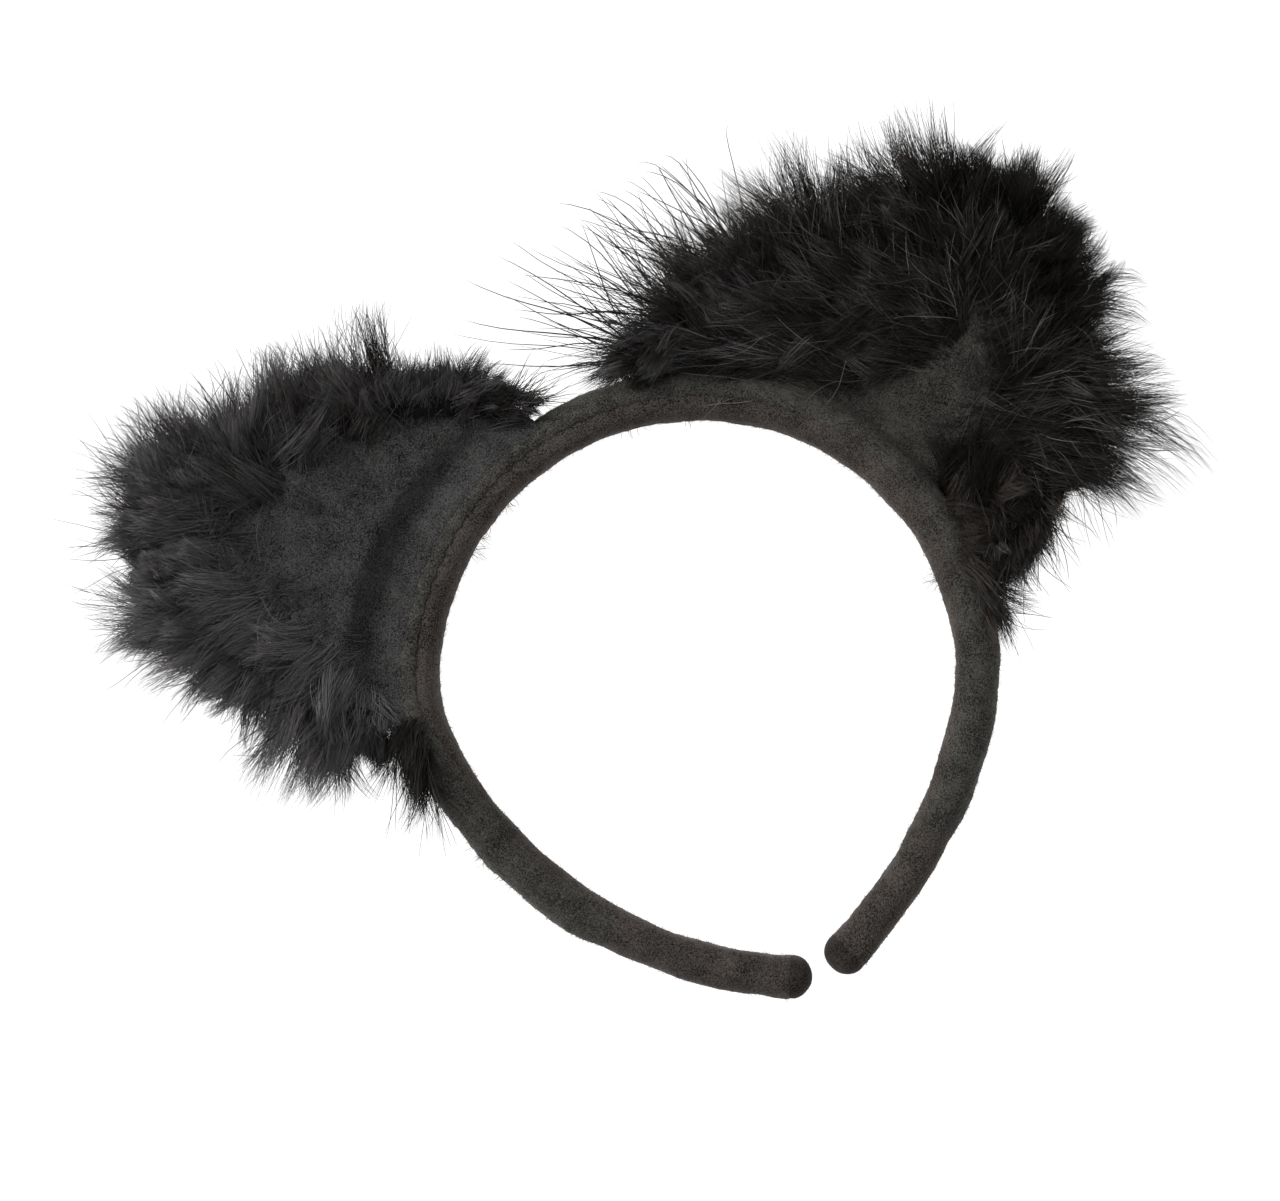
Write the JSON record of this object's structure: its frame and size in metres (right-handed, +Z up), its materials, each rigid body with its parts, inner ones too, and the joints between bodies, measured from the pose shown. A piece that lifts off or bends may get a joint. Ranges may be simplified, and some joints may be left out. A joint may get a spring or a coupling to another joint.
{
  "type": "animal ears headband",
  "caption": "Sprung, padded and cloth-covered headband with two felt animal ears edged in long dark fur.",
  "frame": {"origin": "centre of the crown arc, where the head sits, half way through the band's depth", "axes": "+Z up to the crown as worn, +X to the viewer's right from the front, and the ears' fronts face -Y"},
  "size_m": [0.2577, 0.0302, 0.1911],
  "materials": {
    "strip_plastic": "smooth",
    "foam": "open-cell foam",
    "sleeve_knit": "brushed knit, dark brown-black",
    "wrap_felt": "fuzzy felt, black",
    "ear_felt_front": "fuzzy felt, black",
    "ear_felt_back": "felt, black",
    "rim_wire": "drawn",
    "fur_tape": "woven",
    "long_fur": "long clumped pile, black-brown"
  },
  "bodies": {
    "crown": {"crown_strip": "strip_plastic", "crown_padding": "foam", "crown_sleeve": "sleeve_knit", "crown_wrap": "wrap_felt"},
    "left_side": {"left_side_strip": "strip_plastic", "left_side_padding": "foam", "left_side_sleeve": "sleeve_knit", "left_side_wrap": "wrap_felt", "left_ear_front_panel": "ear_felt_front", "left_ear_back_panel": "ear_felt_back", "left_ear_edge_wire": "rim_wire", "left_ear_fur_tape": "fur_tape", "left_ear_fur": "long_fur"},
    "left_arm": {"left_arm_strip": "strip_plastic", "left_arm_padding": "foam", "left_arm_sleeve": "sleeve_knit", "left_arm_wrap": "wrap_felt", "left_tip_cap": "sleeve_knit"},
    "right_side": {"right_side_strip": "strip_plastic", "right_side_padding": "foam", "right_side_sleeve": "sleeve_knit", "right_side_wrap": "wrap_felt", "right_ear_front_panel": "ear_felt_front", "right_ear_back_panel": "ear_felt_back", "right_ear_edge_wire": "rim_wire", "right_ear_fur_tape": "fur_tape", "right_ear_fur": "long_fur"},
    "right_arm": {"right_arm_strip": "strip_plastic", "right_arm_padding": "foam", "right_arm_sleeve": "sleeve_knit", "right_arm_wrap": "wrap_felt", "right_tip_cap": "sleeve_knit"}
  },
  "joints": [
    {"name": "left_side_flex", "type": "hinge", "parent": "crown", "child": "left_side", "pos_m": [-0.00777, 0, 0.06816], "axis": [0, 1, 0], "range_deg": [0, 12], "stiffness_Nm_per_rad": 1.7},
    {"name": "left_arm_flex", "type": "hinge", "parent": "left_side", "child": "left_arm", "pos_m": [-0.06636, 0, 0.01232], "axis": [0, 1, 0], "range_deg": [0, 18], "stiffness_Nm_per_rad": 1.2},
    {"name": "right_side_flex", "type": "hinge", "parent": "crown", "child": "right_side", "pos_m": [0.00777, 0, 0.06816], "axis": [0, -1, 0], "range_deg": [0, 12], "stiffness_Nm_per_rad": 1.7},
    {"name": "right_arm_flex", "type": "hinge", "parent": "right_side", "child": "right_arm", "pos_m": [0.06812, 0, -0.00602], "axis": [0, -1, 0], "range_deg": [0, 18], "stiffness_Nm_per_rad": 1.2}
  ],
  "couplings": [
    {"joint": "left_arm_flex", "follows": "left_side_flex", "ratio": 1.5},
    {"joint": "right_arm_flex", "follows": "right_side_flex", "ratio": 1.5}
  ]
}
